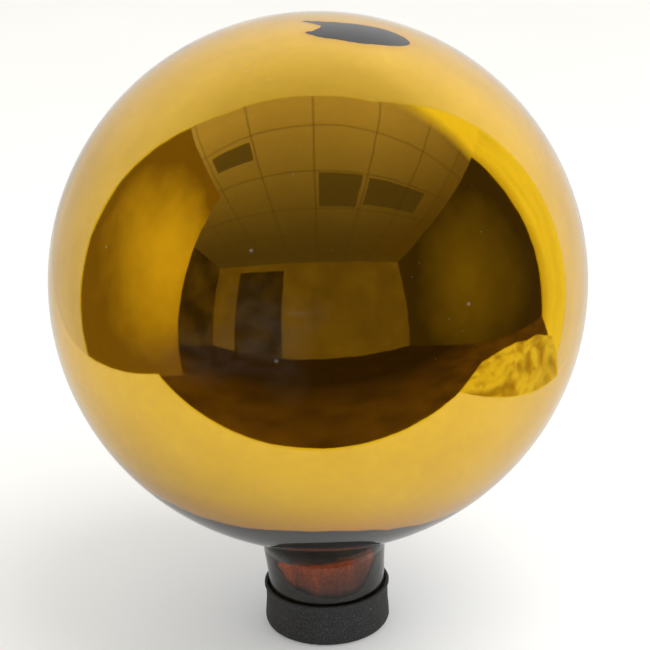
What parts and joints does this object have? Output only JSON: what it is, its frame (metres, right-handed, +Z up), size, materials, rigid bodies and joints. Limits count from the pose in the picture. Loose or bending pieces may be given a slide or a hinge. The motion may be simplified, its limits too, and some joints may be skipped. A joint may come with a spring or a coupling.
{
  "type": "mirror ball",
  "caption": "Gold mirrored glass gazing globe: hollow ball with an open neck, mirror coats inside it and a pull-off rubber end cap that it stands on.",
  "frame": {"origin": "centre of the cap's flat underside, on the surface that the globe stands on", "axes": "+Z up along the axis of neck and ball; -Y towards the side with the bald spot and the rust-red tongue in the neck"},
  "size_m": [0.254, 0.254, 0.3065],
  "materials": {
    "clear_glass": "clear, polished, fire-polished rim",
    "gold_mirror": "gold mirror behind glass, ragged at its edges",
    "black_lacquer": "brushed-on black protective lacquer",
    "rust_lacquer": "thin translucent rust-red lacquer",
    "black_rubber": "matt, fine-grained moulded rubber"
  },
  "bodies": {
    "cap": {"rubber_cap": "black_rubber"},
    "globe": {"glass_globe": "clear_glass", "mirror_film": "gold_mirror", "backing_lacquer": "black_lacquer", "neck_lacquer": "rust_lacquer"}
  },
  "joints": [
    {"name": "globe_lift", "type": "slide", "parent": "cap", "child": "globe", "axis": [0, 0, 1], "range_m": [0, 0.03]}
  ]
}
